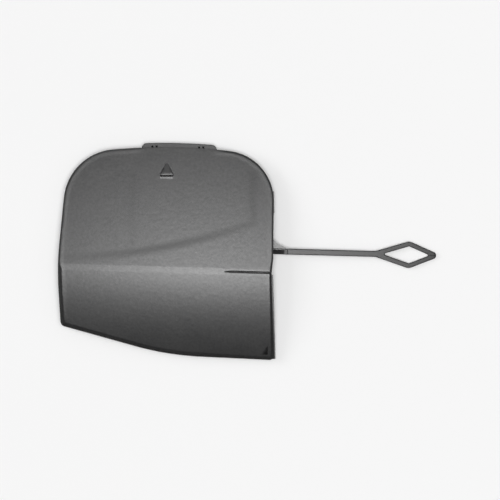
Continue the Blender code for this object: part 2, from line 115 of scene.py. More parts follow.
EDGE_POWER_BELOW = 1.06
EDGE_CHANGE = 0.0040  # length over which the edge's width changes
BEAD_HEIGHT = 0.00005  # the face stands this proud beside its rolled edge
BEAD_WIDTH = 0.0019
BEAD_END = (0.3, 0.7)  # it fades out as the edge faces down, between these shares of straight down
INNER_RING = 0.0030  # inset of the outline that the edge's rings are measured towards
EDGE_CLEAR = 2 * EDGE_WIDTH_ABOVE  # this far inside the outline, the face is clear of its edge
RIB = 0.0012
RIB_HEIGHT = 0.0025
RIB_UP_START = -0.026
RIB_UP_SPACING = 0.026
RIB_UP_COUNT = 3
RIB_ALONG_START = -0.019
RIB_ALONG_SPACING = 0.037
RIB_ALONG_COUNT = 2

# Groove that carries on the bumper's split line.
GROOVE_WIDTH = 0.0006
GROOVE_DEPTH = 0.0009
GROOVE_LENGTH = 0.0212
GROOVE_RUN_OUT = 0.0046
GROOVE_LIP = 0.00025
GROOVE_START_SHARE = 0.35  # of its width, at its left end

# Small pocket in the lower right corner of the face: its top right, bottom right and bottom left corners.
POCKET_CORNERS = ((0.0453, -0.0336), (0.0453, -0.0375), (0.0428, -0.0375))
POCKET_DEPTH = 0.0011

# Raised triangle that shows where to press.
MARK_WIDTH = 0.0070
MARK_HEIGHT = 0.0066
MARK_FOOT_RISE = 0.0410
MARK_OFFSET = 0.0009
MARK_RADIUS = 0.0008
MARK_EDGE = 0.0005
MARK_STEP_AT_TIP = 0.00028
MARK_PROFILE = ((0.00121, 0.00062), (0.00055, 0.00056), (-0.00011, 0))  # distance up the face, and height
MARK_FOOT_WIDTH = 0.0058
MARK_FOOT_START = -0.00046
MARK_FOOT_END = -0.00096
MARK_FOOT_STEP = 0.00010

# Hook tab on the top edge.
TAB_WIDTH = 0.0329
TAB_OFFSET = 0.0063
TAB_REACH = 0.0021
TAB_THICKNESS = 0.0018
TAB_LEVEL = 0.0024
TAB_TILT = math.radians(3.5)
TAB_RADIUS = 0.0021
TAB_EDGE = 0.0003
TAB_FROM = 0.8  # the tab lies above this share of the crown's rise
SLOT_WIDTH = 0.0009
SLOT_HEIGHT = 0.0013
SLOT_DEPTH = 0.0009
SLOT_FROM_TIP = 0.0018
SLOT_GAP = 0.0010
SLOT_PAIR_SPACING = 0.0206
SLOT_OFFSET = -0.0006

# Lug on the upper right side, and lip down the lower right side. Each end of a strip has its height
# along the side and how far the strip reaches out there.
SIDE_STRIPS = {
    "lug": {"top": (0.0345, 0.0001), "bottom": (0.0250, 0.0004), "level": 0.0020, "thick": 0.0016},
    "lip": {"top": (-0.0023, 0.0007), "bottom": (-0.0396, 0.0010), "level": 0.0024, "thick": 0.0014},
}
STRIP_EDGE = 0.0002
STRIP_DRAFT = 0.0004  # the strips get wider towards the back by this

# Tether strap, with the diamond loop that goes over a peg behind the bumper.
STRAP_RISE = 0.0081
STRAP_LENGTH = 0.0603
STRAP_WIDTH = 0.0026
STRAP_THICKNESS = 0.0016
STRAP_SKEW = math.radians(-1.55)
STRAP_FROM_RIM = 0.0004
STRAP_FALL = 0.0035
STRAP_EDGE = 0.0004
LOOP_HOLE_NEAR = 0.0119
LOOP_HOLE_FAR = 0.0092
LOOP_HOLE_HALF_WIDTH = 0.0038
LOOP_HOLE_RADIUS = 0.0005
LOOP_BAR = 0.0021
LOOP_TIP_RADIUS = 0.00161
LOOP_SIDE_RADIUS = 0.0032
GUSSET_LENGTH = 0.0048
GUSSET_WIDTH = 0.0039
GUSSET_WAIST = (0.5, 0.46)  # shares of its length and width at which its hollow side turns
GUSSET_END = 1.5  # share of its length at which that side meets the strap
GUSSET_LEVEL = 0.0003  # behind the strap's face
GUSSET_THICKNESS = 0.0010
RAMP_LENGTH = 0.0053
RAMP_HEIGHT = 0.0034
RAMP_POWER = 1.3  # 1 is a straight ramp
RAMP_SHARE = 0.6  # how much of the strap's upper half it covers
RAMP_LAND = 0.0009  # length of the level land at the ramp's end
RAMP_LAND_HEIGHT = 0.0004

# Snap legs on the back.
LEG_WIDTH = 0.0080
LEG_THICKNESS = 0.0018
LEG_BARB = 0.0013
LEG_BARB_HEIGHT = 0.0018
LEG_LAND = 0.0005
LEG_FROM_RIM = 0.0030
LEG_GUSSET = 0.0012
LEG_GUSSET_LENGTH = 0.0035
LEG_GUSSET_FOOT = 0.0034
LEFT_LEG_RISES = (0.0230, -0.0085)
BOTTOM_LEG_OFFSET = 0.0080

# Marks that the mould's ejector pins leave on the back.
EJECTOR_RADIUS = 0.0021
EJECTOR_STEP = 0.00018
EJECTOR_ROW_START = (-0.013, -0.0085)
EJECTOR_SPACING = 0.026
EJECTOR_COUNT = 2

# How finely the form is cut.
PANEL_FACET = 0.0010
STRAP_FACET = 0.0015
ARC_STEP = math.radians(6)
LONGEST_ARC_CHORD = 0.0016
EDGE_SEGMENTS = 8
PLATE_EDGE_SEGMENTS = 4
TAB_EDGE_SEGMENTS = 3
BEAD_STEPS = 5
RIDGE_STEPS = 3
GROOVE_STEPS = 8
GROOVE_LIP_STEPS = 4
GROOVE_WALL_STEPS = 6
TAB_TIP_STEPS = 12
RAMP_STEPS = 8
EJECTOR_SIDES = 32
SHARP_FROM = math.radians(32)
FLAT_WITHIN = math.radians(0.1)
QUARTER_TURN = math.radians(90)
OVERLAP = 0.0006  # how far a joined shape reaches into what it joins
WELD = 0.0000001
CUT_SNAP = 0.00004  # a cut passes through any point this close to it

# Camera, straight above the table.
CAMERA_OVER = (0.03751, 0.00862)  # from the middle of the crease
CAMERA_HEIGHT = 0.900
SENSOR = 36.0
LENS = 145.9

# Light. Each lamp's place is its distance from the crease's middle.
LAMPS = {
    "key_softbox": {"place": (0.066, -0.043, 1.30), "size": 0.46, "power": 13.1},
    "side_softbox": {"place": (-1.00, 0.30, 1.00), "size": 0.8, "power": 4.3},
}
ROOM_OVERHEAD = 0.34
BACKDROP_LEVEL = 0.93  # what the camera sees beyond the floor
FLOOR_COLOUR = (0.88, 0.88, 0.88, 1)
FLOOR_ROUGHNESS = 0.9
FLOOR_HALF_WIDTH = 4

# Finishes.
PLASTIC = (0.0085, 0.0085, 0.0090, 1)
DUSTY_PLASTIC = (0.0175, 0.0170, 0.0165, 1)
SPECK_COLOUR = (0.11, 0.11, 0.11, 1)
DUST_FROM = 0.35
DUST_SHARE = 0.6  # of the colour ramp, of which the specks take the rest
FACE_ROUGHNESS = 0.41
FACE_COAT = 0.51
FACE_COAT_ROUGHNESS = 0.38
BACK_ROUGHNESS = 0.43
ROUGHNESS_CHANGE = 0.03  # from the cleanest to the dustiest places
FRONT_FROM = 0.1  # upward share of a facet's normal, from which it counts as the front
GRAIN = {
    "Grain size": 0.00035,
    "Grain depth": 0.000005,
    "Ripple size": 0.0018,
    "Ripple depth": 0.000027,
    "Mottle size": 0.0010,
}
GLOSS_MOTTLE = 1.4  # how much the gloss coat varies with the mottle
DUST = {"Patch size": 0.009, "Speck radius": 0.0005}
SPECKS = ((0.0139, 0.0076), (-0.0005, -0.0185))
GRAIN_DETAIL = 1  # how many finer layers each noise has
MOTTLE_DETAIL = 2
DUST_DETAIL = 5

# Painted dark reflection in the face's gloss: the coat is thinned, so that the face shows darker, along a
# shallow curve, a short length up the right side, and a faint upright band.
PAINTED_REFLECTION = {
    "Rise": 0.0099,
    "Lean": 0.19,
    "Curl": 2.0,
    "Half width": 0.0032,
    "End": 0.0390,
    "Top": 0.0413,
    "Middle": 0.003,  # where it is strongest, and how far it reaches from there
    "Reach": 0.065,
    "Band": -0.0140,
    "Band foot": 0.0100,
    "Band share": 0.17,
}


def side_directions(corners, i):
    """Unit vectors from corner i to the corners before and after it."""
    here = Vector(corners[i][:2])
    before = (Vector(corners[i - 1][:2]) - here).normalized()
    after = (Vector(corners[(i + 1) % len(corners)][:2]) - here).normalized()
    return before, after


def inset_corners(corners, distance):
    """The corners of the same clockwise outline, moved inwards by distance."""
    moved = []
    for i, (x, y, radius) in enumerate(corners):
        before, after = side_directions(corners, i)
        inwards = Vector((-before.y, before.x)), Vector((after.y, -after.x))
        place = Vector((x, y)) + (inwards[0] + inwards[1]) * distance / (1 + inwards[0].dot(inwards[1]))
        turns_in = before.cross(after) > 0
        new_radius = max(radius - distance, LEAST_INNER_RADIUS) if turns_in else radius + distance
        moved.append((place.x, place.y, new_radius))
    return moved


def rounded(corners, like=None):
    """Points along a clockwise outline whose corners are arcs: each corner is x, y and its radius.

    The arcs get as many points as those of the corners in like, where these are given.
    """
    points = []
    for i, (x, y, radius) in enumerate(corners):
        before, after = side_directions(corners, i)
        half = before.angle(after) / 2
        corner = Vector((x, y))
        if radius < WELD:
            points.append(corner)
            continue
        centre = corner + (before + after).normalized() * radius / math.sin(half)
        start = corner + before * radius / math.tan(half) - centre
        end = corner + after * radius / math.tan(half) - centre
        turn = start.angle_signed(end)
        arc_length = abs(turn) * (like or corners)[i][2]
        steps = max(2, math.ceil(abs(turn) / ARC_STEP), math.ceil(arc_length / LONGEST_ARC_CHORD))
        for step in range(steps + 1):
            points.append(centre + Matrix.Rotation(-turn * step / steps, 2) @ start)
    return points


def arc_reach(corners, i):
    """How far the arc at corner i reaches along the sides from the corner."""
    before, after = side_directions(corners, i)
    return corners[i][2] / math.tan(before.angle(after) / 2)


def panel_corners():
    """The face's corners, with the crown's arc as wide as the shoulders' arcs leave room for."""
    places = list(CORNERS.values())
    crown = list(CORNERS).index("crown")
    x, y, _ = places[crown]
    sides = [
        (Vector(places[i][:2]) - Vector((x, y))).length - arc_reach(places, i) for i in (crown - 1, crown + 1)
    ]
    before, after = side_directions(places, crown)
    radius = (min(sides) - CROWN_STRAIGHT) * math.tan(before.angle(after) / 2)
    return {**CORNERS, "crown": (x, y, radius)}


def panel_outline(inset=0.0):
    """Points along the face's outline, or along one that lies inside it."""
    corners = list(panel_corners().values())
    return rounded(inset_corners(corners, inset) if inset else corners, like=corners)


def side_x(y, low, high):
    """Where the straight line between two named corners is, at height y along the bumper."""
    corners = panel_corners()
    share = (y - corners[low][1]) / (corners[high][1] - corners[low][1])
    return Vector(corners[low][:2]).lerp(Vector(corners[high][:2]), share).x


def right_side_x(y):
    if y > WAIST_RISE:
        return side_x(y, "waist", "right_shoulder")
    return side_x(y, "right_foot", "right_crease")


def left_side_x(y):
    if y > CREASE_FALL / 2:
        return side_x(y, "left_crease", "left_shoulder")
    return side_x(y, "left_foot", "left_crease")


def top_y(x):
    """Height of the outline's top edge, at place x along the bumper."""
    outline = panel_outline()
    for before, after in zip(outline, outline[1:]):
        if before.x <= x <= after.x:
            return before.lerp(after, (x - before.x) / (after.x - before.x)).y
    raise ValueError("x lies beside the panel")


@contextmanager
def reworked(mesh):
    """A bmesh of a mesh, which goes back into the mesh."""
    shape = bmesh.new()
    shape.from_mesh(mesh)
    yield shape
    shape.to_mesh(mesh)
    shape.free()


def put(name, data):
    """A new object in the scene."""
    made = bpy.data.objects.new(name, data)
    bpy.context.scene.collection.objects.link(made)
    return made


def plain_mesh(obj):
    """Replaces an object by a plain mesh of what its modifiers make."""
    bpy.context.view_layer.update()
    evaluated = obj.evaluated_get(bpy.context.evaluated_depsgraph_get())
    mesh = bpy.data.meshes.new_from_object(evaluated)
    mesh.transform(obj.matrix_world)
    with reworked(mesh) as shape:
        bmesh.ops.remove_doubles(shape, verts=shape.verts, dist=WELD)
        bmesh.ops.recalc_face_normals(shape, faces=shape.faces)
    name = obj.name
    bpy.data.objects.remove(obj, do_unlink=True)
    return put(name, mesh)


def mesh_object(name, shape):
    """An object that holds a bmesh."""
    mesh = bpy.data.meshes.new(name)
    shape.to_mesh(mesh)
    shape.free()
    return put(name, mesh)


def placed(obj, matrix):
    """Moves an object's mesh."""
    obj.data.transform(matrix)
    return obj


def plate(name, points, low, high, edge=0.0, hole=None, segments=PLATE_EDGE_SEGMENTS):
    """A flat outline made solid between two heights, with the edge of its upper face rounded."""
    curve = bpy.data.curves.new(name, "CURVE")
    curve.dimensions = "2D"
    curve.fill_mode = "BOTH"
    curve.extrude = (high - low) / 2
    for outline in (points, hole) if hole else (points,):
        spline = curve.splines.new("POLY")
        spline.points.add(len(outline) - 1)
        for place, point in zip(spline.points, outline):
            place.co = (point[0], point[1], 0, 1)
        spline.use_cyclic_u = True
    flat = put(name, curve)
    flat.location.z = (high + low) / 2
    made = plain_mesh(flat)
    if edge > 0:
        round_upper_edge(made, high, edge, segments)
    return made


def round_upper_edge(obj, height, radius, segments):
    with reworked(obj.data) as shape:
        bmesh.ops.dissolve_limit(shape, angle_limit=FLAT_WITHIN, verts=shape.verts, edges=shape.edges)
        rim = [e for e in shape.edges if all(abs(v.co.z - height) < WELD for v in e.verts)]
        bmesh.ops.bevel(shape, geom=rim, offset=radius, segments=segments, profile=0.5, affect="EDGES")


def joined(body, other, operation="UNION"):
    """The body after a Boolean with another object, which is removed."""
    boolean = body.modifiers.new(operation.lower(), "BOOLEAN")
    boolean.operation = operation
    boolean.solver = "MANIFOLD"
    boolean.object = other
    made = plain_mesh(body)
    bpy.data.objects.remove(other, do_unlink=True)
    return made


def swept(name, sections):
    """A closed solid through rings of points that have the same count."""
    shape = bmesh.new()
    rings = [[shape.verts.new(point) for point in ring] for ring in sections]
    for ring, following in zip(rings, rings[1:]):
        for i in range(len(ring)):
            j = (i + 1) % len(ring)
            shape.faces.new((ring[i], ring[j], following[j], following[i]))
    shape.faces.new(rings[0])
    shape.faces.new(rings[-1])
    bmesh.ops.triangulate(shape, faces=[f for f in shape.faces if len(f.verts) > 4])
    bmesh.ops.recalc_face_normals(shape, faces=shape.faces)
    return mesh_object(name, shape)


def bar(name, profile, ends, along_x=False):
    """A bar between two ends along Y or X, whose section is a profile of distances and heights."""
    rings = [[(end, near, z) if along_x else (near, end, z) for near, z in profile] for end in ends]
    return swept(name, rings)


def cut_into_facets(obj, spacing, axes):
    """Cuts the mesh with even planes across the given axes, so that it can follow a curve."""
    with reworked(obj.data) as shape:
        for axis in axes:
            normal = Vector((0, 0, 0))
            normal[axis] = 1
            low = min(v.co[axis] for v in shape.verts)
            high = max(v.co[axis] for v in shape.verts)
            count = math.ceil((high - low) / spacing)
            for step in range(1, count):
                cut(shape, normal * (low + (high - low) * step / count), normal)


def cut(shape, through, normal):
    everything = shape.verts[:] + shape.edges[:] + shape.faces[:]
    bmesh.ops.bisect_plane(shape, geom=everything, dist=CUT_SNAP, plane_co=through, plane_no=normal)


def cut_along_crease(obj):
    """Adds lines along the crease, where its flat top and its roundings start and end."""
    normal = Vector((FORM["Crease lean"], 1, 0)).normalized()
    with reworked(obj.data) as shape:
        for side in (-1, 1):
            for step in range(RIDGE_STEPS + 1):
                away = FORM["Ridge half width"] + FORM["Ridge rounding"] * step / RIDGE_STEPS
                cut(shape, Vector((0, side * away, 0)), normal)
        bmesh.ops.triangulate(shape, faces=shape.faces)


def new_tree(name, kind, inputs, outputs):
    """A node tree with named inputs and outputs, each of its kind, and the sockets of its inputs."""
    tree = bpy.data.node_groups.new(name, kind)
    for way, sockets in (("INPUT", inputs), ("OUTPUT", outputs)):
        for label, socket in sockets.items():
            tree.interface.new_socket(label, in_out=way, socket_type=f"NodeSocket{socket}")
    return tree, tree.nodes.new("NodeGroupInput").outputs


def new_shaper(name, numbers):
    """A geometry tree that takes named numbers and a finish."""
    inputs = {"Geometry": "Geometry", **dict.fromkeys(numbers, "Float"), "Finish": "Material"}
    return new_tree(name, "GeometryNodeTree", inputs, {"Geometry": "Geometry"})


def new_group(name, numbers, outputs):
    """A shader node group that takes a place and named numbers, and gives named masks or heights."""
    inputs = {"Place": "Vector", **dict.fromkeys(numbers, "Float")}
    return new_tree(name, "ShaderNodeTree", inputs, dict.fromkeys(outputs, "Float"))


def fill(tree, node, values):
    """Sets a node's inputs to numbers or links them to sockets, by name or in order."""
    pairs = values.items() if isinstance(values, dict) else enumerate(values)
    for key, value in pairs:
        if isinstance(value, bpy.types.NodeSocket):
            tree.links.new(value, node.inputs[key])
        else:
            node.inputs[key].default_value = value


def add_node(tree, kind, values=(), **settings):
    """A node with its settings and its inputs."""
    node = tree.nodes.new(kind)
    for setting, value in settings.items():
        setattr(node, setting, value)
    fill(tree, node, values)
    return node


def sums(tree, operation, *values):
    """The output of a Math node."""
    return add_node(tree, "ShaderNodeMath", values, operation=operation).outputs[0]


def parts_of(tree, vector):
    """The x, y and z outputs of a vector."""
    return add_node(tree, "ShaderNodeSeparateXYZ", [vector]).outputs


def close_tree(tree, geometry, finish):
    """Ends a tree in Realize Instances and Set Material."""
    real = add_node(tree, "GeometryNodeRealizeInstances", [geometry]).outputs[0]
    painted = add_node(tree, "GeometryNodeSetMaterial", {"Geometry": real, "Material": finish}).outputs[0]
    add_node(tree, "NodeGroupOutput", [painted])
    return tree


def through_tree(obj, tree, values):
    """The plain mesh that a tree makes from an object."""
    modifier = obj.modifiers.new(tree.name, "NODES")
    modifier.node_group = tree
    for item in tree.interface.items_tree:
        if item.in_out == "INPUT" and item.name in values:
            modifier[item.identifier] = values[item.name]
    return plain_mesh(obj)


def slope_fall(tree, given, away, side, end):
    """Fall of one side of the face: flat by the crease, then a slope that grows evenly."""
    near_slope, rounding = given[f"{side} slope at crease"], given["Ridge rounding"]
    past = sums(tree, "SUBTRACT", away, given["Ridge half width"])
    in_rounding = sums(tree, "MINIMUM", sums(tree, "MAXIMUM", past, 0), rounding)
    rounding_fall = sums(tree, "DIVIDE", sums(tree, "MULTIPLY", in_rounding, in_rounding), rounding)
    beyond = sums(tree, "MAXIMUM", sums(tree, "SUBTRACT", past, rounding), 0)
    ramp = sums(tree, "MULTIPLY_ADD", rounding_fall, 0.5, beyond)
    steeper = sums(tree, "SUBTRACT", given[f"{side} slope at {end}"], near_slope)
    growth = sums(tree, "DIVIDE", steeper, given[f"{side} length"])
    half_square = sums(tree, "MULTIPLY", sums(tree, "MULTIPLY", beyond, beyond), 0.5)
    grown = sums(tree, "MULTIPLY", growth, half_square)
    return sums(tree, "MULTIPLY_ADD", ramp, near_slope, grown)


def close_at_level(tree, given, place, level):
    """Ends a tree that sets every point's height."""
    spot = add_node(tree, "ShaderNodeCombineXYZ", [place[0], place[1], level]).outputs[0]
    moved = add_node(tree, "GeometryNodeSetPosition", {"Geometry": given["Geometry"], "Position": spot})
    return close_tree(tree, moved.outputs[0], given["Finish"])


def form_tree():
    """Forms a flat blank to the bumper's curve. What would reach below the table stops at it."""
    tree, given = new_shaper("Face form", FORM)
    place = parts_of(tree, add_node(tree, "GeometryNodeInputPosition").outputs[0])
    rise = sums(tree, "MULTIPLY_ADD", place[0], given["Crease lean"], place[1])
    away = sums(tree, "ABSOLUTE", rise)
    sides = ("Upper", "top"), ("Lower", "foot")
    falls = [slope_fall(tree, given, away, *side) for side in sides]
    is_upper = sums(tree, "GREATER_THAN", rise, 0)
    fall = sums(tree, "MULTIPLY_ADD", is_upper, sums(tree, "SUBTRACT", *falls), falls[1])
    bow = sums(tree, "DIVIDE", sums(tree, "MULTIPLY", place[0], place[0]), given["Bow radius"])
    drop = sums(tree, "MULTIPLY_ADD", bow, 0.5, fall)
    level = sums(tree, "SUBTRACT", sums(tree, "ADD", place[2], given["Crown height"]), drop)
    return close_at_level(tree, given, place, sums(tree, "MAXIMUM", level, 0))


def sag_tree():
    """Lets a straight strap sag along X by a fall that grows with the square of the distance."""
    tree, given = new_shaper("Strap sag", ("Fall", "End"))
    place = parts_of(tree, add_node(tree, "GeometryNodeInputPosition").outputs[0])
    share = sums(tree, "DIVIDE", sums(tree, "MAXIMUM", place[0], 0), given["End"])
    fall = sums(tree, "MULTIPLY", sums(tree, "MULTIPLY", share, share), given["Fall"])
    return close_at_level(tree, given, place, sums(tree, "SUBTRACT", place[2], fall))


def row_tree():
    """Repeats a shape in a row."""
    tree, given = new_shaper("Row", ("Count", "Step along", "Step up"))
    step = add_node(tree, "ShaderNodeCombineXYZ", [given["Step along"], given["Step up"], 0.0]).outputs[0]
    line = add_node(tree, "GeometryNodeMeshLine", {"Count": given["Count"], "Offset": step}).outputs[0]
    copies = add_node(tree, "GeometryNodeInstanceOnPoints", {"Points": line, "Instance": given["Geometry"]})
    return close_tree(tree, copies.outputs[0], given["Finish"])


def box(name, low, high):
    """An upright box between two corners."""
    shape = bmesh.new()
    low, high = Vector(low), Vector(high)
    bmesh.ops.create_cube(shape, size=1)
    size = Matrix.Diagonal((*(high - low), 1))
    bmesh.ops.transform(shape, matrix=Matrix.Translation((low + high) / 2) @ size, verts=shape.verts)
    return mesh_object(name, shape)


def row_of(obj, trees, count, along=0.0, up=0.0):
    values = {"Count": float(count), "Step along": along, "Step up": up, "Finish": trees["finish"]}
    return through_tree(obj, trees["row"], values)


def ease(value, low, high):
    """Rises smoothly from 0 at low to 1 at high."""
    share = min(max((value - low) / (high - low), 0), 1)
    return share * share * (3 - 2 * share)


def mix(first, second, share):
    """What lies between two numbers, at a share of the way."""
    return first + (second - first) * share


def fall_rate(point, outwards):
    """How steeply the formed face falls at a point, going outwards."""
    rise = point.y + CREASE_FALL * point.x / PANEL_WIDTH
    side, end = ("Upper", "top") if rise > 0 else ("Lower", "foot")
    near, far = FORM[f"{side} slope at crease"], FORM[f"{side} slope at {end}"]
    slope = near + (far - near) * abs(rise) / FORM[f"{side} length"]
    return outwards.x * point.x / FORM["Bow radius"] + outwards.y * math.copysign(slope, rise)


def edge_at(point, outwards):
    """The rolled edge at a point of the outline: its width, its tilt, its power and its share of the bead.

    It is wide and steep below the crease, and narrow behind the tab. Neither there nor along the bottom
    does it have a bead.
    """
    rise = point.y + CREASE_FALL * point.x / PANEL_WIDTH
    below = ease(-rise, -EDGE_CHANGE / 2, EDGE_CHANGE / 2)
    from_lip = ease(right_side_x(point.y) - point.x, 0, EDGE_CHANGE)
    width = mix(EDGE_WIDTH_ABOVE, mix(EDGE_WIDTH_AT_LIP, EDGE_WIDTH_BELOW, from_lip), below)
    tilt = mix(EDGE_TILT_LEFT, EDGE_TILT_RIGHT, ease(point.x / PANEL_WIDTH, *EDGE_TILT_TURN))
    past_crown = ease(point.x, CROWN_EDGE_END, CROWN_EDGE_END + EDGE_CHANGE)
    tilt = mix(tilt, EDGE_TILT_AT_CROWN, ease(point.y / CROWN_RISE, *CROWN_EDGE_START) * (1 - past_crown))
    tilt = mix(tilt, EDGE_TILT_BELOW, below)
    power = mix(EDGE_POWER_ABOVE, EDGE_POWER_BELOW, below)
    if point.y < CROWN_RISE / 2:
        return width, tilt, power, 1 - ease(-outwards.y, *BEAD_END)
    beside_tab = ease(abs(point.x - TAB_OFFSET) - TAB_WIDTH / 2, -EDGE_CHANGE / 2, EDGE_CHANGE / 2)
    return mix(EDGE_WIDTH_AT_TAB, width, beside_tab), tilt, power, beside_tab


def blank():
    """The flat blank: a plate with a rolled edge, and a slight bead where the face meets it."""
    outer, inner = panel_outline(), panel_outline(INNER_RING)
    ways = [(place - towards).normalized() for place, towards in zip(outer, inner)]
    edges = [edge_at(place, way) for place, way in zip(outer, ways)]
    falls = [math.tan(edge[1]) - fall_rate(place, way) for place, way, edge in zip(outer, ways, edges)]

    def ring(turn, across_bead):
        points = []
        for place, towards, fall, (width, _, power, bead) in zip(outer, inner, falls, edges):
            roll = 1 - math.cos(turn) ** (2 / power)
            depth = 1 - math.sin(turn) ** (2 / power)
            step = place.lerp(towards, (width * roll + BEAD_WIDTH * across_bead) / INNER_RING)
            proud = BEAD_HEIGHT * bead * (1 - ease(across_bead, 0, 1))
            points.append((step.x, step.y, proud - (width * fall + BEAD_HEIGHT * bead) * depth))
        return points

    rings = [[(place.x, place.y, -RIM_DEPTH) for place in outer]]
    rings += [ring(QUARTER_TURN * step / EDGE_SEGMENTS, 0) for step in range(EDGE_SEGMENTS + 1)]
    rings += [ring(QUARTER_TURN, step / BEAD_STEPS) for step in range(1, BEAD_STEPS + 1)]
    return swept("cover_moulding", rings)


def back_ribs(trees):
    """The crossing ribs behind the face, trimmed to end inside the rim."""
    low, high = -SKIN - RIB_HEIGHT, -SKIN + OVERLAP
    reach = PANEL_WIDTH
    x = RIB_UP_START
    up = box("ribs_up", (x - RIB / 2, -reach, low - OVERLAP), (x + RIB / 2, reach, high + OVERLAP))
    up = row_of(up, trees, RIB_UP_COUNT, along=RIB_UP_SPACING)
    y = RIB_ALONG_START
    along = box("ribs_along", (-reach, y - RIB / 2, low - OVERLAP), (reach, y + RIB / 2, high + OVERLAP))
    along = row_of(along, trees, RIB_ALONG_COUNT, up=RIB_ALONG_SPACING)
    field = plate("rib_field", panel_outline(RIM / 2), low, high)
    return joined(field, joined(up, along), "INTERSECT")


def ejector_marks(trees):
    """Two rows of round marks, each a little proud of the skin's back."""
    shape = bmesh.new()
    bmesh.ops.create_cone(
        shape,
        cap_ends=True,
        segments=EJECTOR_SIDES,
        radius1=EJECTOR_RADIUS,
        radius2=EJECTOR_RADIUS,
        depth=OVERLAP + EJECTOR_STEP,
    )
    place = (*EJECTOR_ROW_START, -SKIN + (OVERLAP - EJECTOR_STEP) / 2)
    mark_alone = placed(mesh_object("ejector_marks", shape), Matrix.Translation(place))
    row = row_of(mark_alone, trees, EJECTOR_COUNT, along=EJECTOR_SPACING)
    return row_of(row, trees, EJECTOR_COUNT, up=EJECTOR_SPACING)


def groove_section(x, share):
    """Half-round groove across the crease at place x, at a share of its full depth, with rounded lips."""
    half = GROOVE_WIDTH / 2 * mix(GROOVE_START_SHARE, 1, share)
    lip = GROOVE_LIP * share + WELD
    depth = GROOVE_DEPTH * share + WELD * 10
    points = [(half + lip, OVERLAP)]
    for step in range(GROOVE_LIP_STEPS + 1):
        angle = QUARTER_TURN * step / GROOVE_LIP_STEPS
        points.append((half + lip - lip * math.sin(angle), -lip + lip * math.cos(angle)))
    for step in range(1, GROOVE_WALL_STEPS):
        angle = QUARTER_TURN * step / GROOVE_WALL_STEPS
        points.append((half * math.cos(angle), -lip - (depth - lip) * math.sin(angle)))
    points.append((0, -depth))
    mirrored = [(-y, z) for y, z in reversed(points[:-1])]
    return [(x, y, z) for y, z in points + mirrored]


def groove():
    """What the groove cuts: it starts as nothing at its left end."""
    start, end = RIGHT - GROOVE_LENGTH, RIGHT + RIM
    sections = []
    for step in range(1, GROOVE_STEPS + 1):
        share = math.sin(QUARTER_TURN * step / GROOVE_STEPS)
        sections.append(groove_section(start + GROOVE_RUN_OUT * step / GROOVE_STEPS, share))
    sections.append(groove_section(end, 1))
    slant = math.atan2(-CREASE_FALL, PANEL_WIDTH)
    return placed(swept("groove", sections), Matrix.Rotation(slant, 4, "Z"))


def corner_pocket():
    """What cuts the small pocket: its floor falls from the long side to the corner."""
    shape = bmesh.new()
    for place, depth in zip(POCKET_CORNERS, (0, POCKET_DEPTH, 0)):
        shape.verts.new((*place, OVERLAP))
        shape.verts.new((*place, -depth))
    bmesh.ops.convex_hull(shape, input=shape.verts)
    return mesh_object("pocket", shape)


def across(name, profile, half_width):
    """A bar across the triangle, whose section is a profile of distances up the face and heights."""
    section = [(MARK_FOOT_RISE + y, z) for y, z in profile]
    made = bar(name, section, (-half_width, half_width), along_x=True)
    return placed(made, Matrix.Translation((MARK_OFFSET, 0, 0)))


def mark():
    """The raised triangle: it rises to a crest along its base and drops to a slight step in the face."""
    top = MARK_HEIGHT + OVERLAP
    base = MARK_PROFILE[-1][0]
    wedge = [(top, -OVERLAP), (top, MARK_STEP_AT_TIP), (MARK_HEIGHT, MARK_STEP_AT_TIP), *MARK_PROFILE]
    wedge += [(base - OVERLAP, -OVERLAP)]
    lower = -base * MARK_WIDTH / MARK_HEIGHT / 2
    corners = [
        (MARK_OFFSET - MARK_WIDTH / 2 - lower, MARK_FOOT_RISE + base, MARK_RADIUS),
        (MARK_OFFSET, MARK_FOOT_RISE + MARK_HEIGHT, MARK_RADIUS),
        (MARK_OFFSET + MARK_WIDTH / 2 + lower, MARK_FOOT_RISE + base, MARK_RADIUS),
    ]
    high = max(z for _, z in MARK_PROFILE) + WELD
    field = plate("mark_field", rounded(corners), -OVERLAP / 2, high, MARK_EDGE)
    triangle = joined(field, across("mark", wedge, MARK_WIDTH), "INTERSECT")
    start, end = MARK_FOOT_START, MARK_FOOT_END
    step = [(start, -OVERLAP), (start, MARK_FOOT_STEP), (end, WELD), (end, -OVERLAP)]
    return joined(triangle, across("mark_foot", step, MARK_FOOT_WIDTH / 2))


def side_strip(name, top, bottom, level, thick):
    """A strip that stands out from the right side, drawn in at its face so that its side is seen."""
    (high, high_reach), (low, low_reach) = top, bottom
    inner = RIM / 2
    outline = [
        (right_side_x(high) - inner, high, 0),
        (right_side_x(high) + high_reach, high, STRIP_EDGE),
        (right_side_x(low) + low_reach, low, STRIP_EDGE),
        (right_side_x(low) - inner, low, 0),
    ]
    strip = plate(name, rounded(outline), -level - thick, -level)
    for vertex in strip.data.vertices:
        place = vertex.co
        if place.z > -level - STRIP_DRAFT and place.x > right_side_x(place.y) - RIM / 4:
            place.x -= STRIP_DRAFT
    return strip


def surface_height(obj, x, y):
    """Height of an object's upper surface at x, y."""
    tree = BVHTree.FromObject(obj, bpy.context.evaluated_depsgraph_get())
    hit = tree.ray_cast(Vector((x, y, 1)), Vector((0, 0, -1)))[0]
    return hit.z


def slot(x, y):
    """What cuts one slot: a box whose floor is a V, so that no light comes back from it."""
    left, right = x - SLOT_WIDTH / 2, x + SLOT_WIDTH / 2
    shoulder = -SLOT_DEPTH / 2
    section = [(left, OVERLAP), (right, OVERLAP), (right, shoulder), (x, -SLOT_DEPTH), (left, shoulder)]
    return bar("slots", section, (y - SLOT_HEIGHT / 2, y + SLOT_HEIGHT / 2))


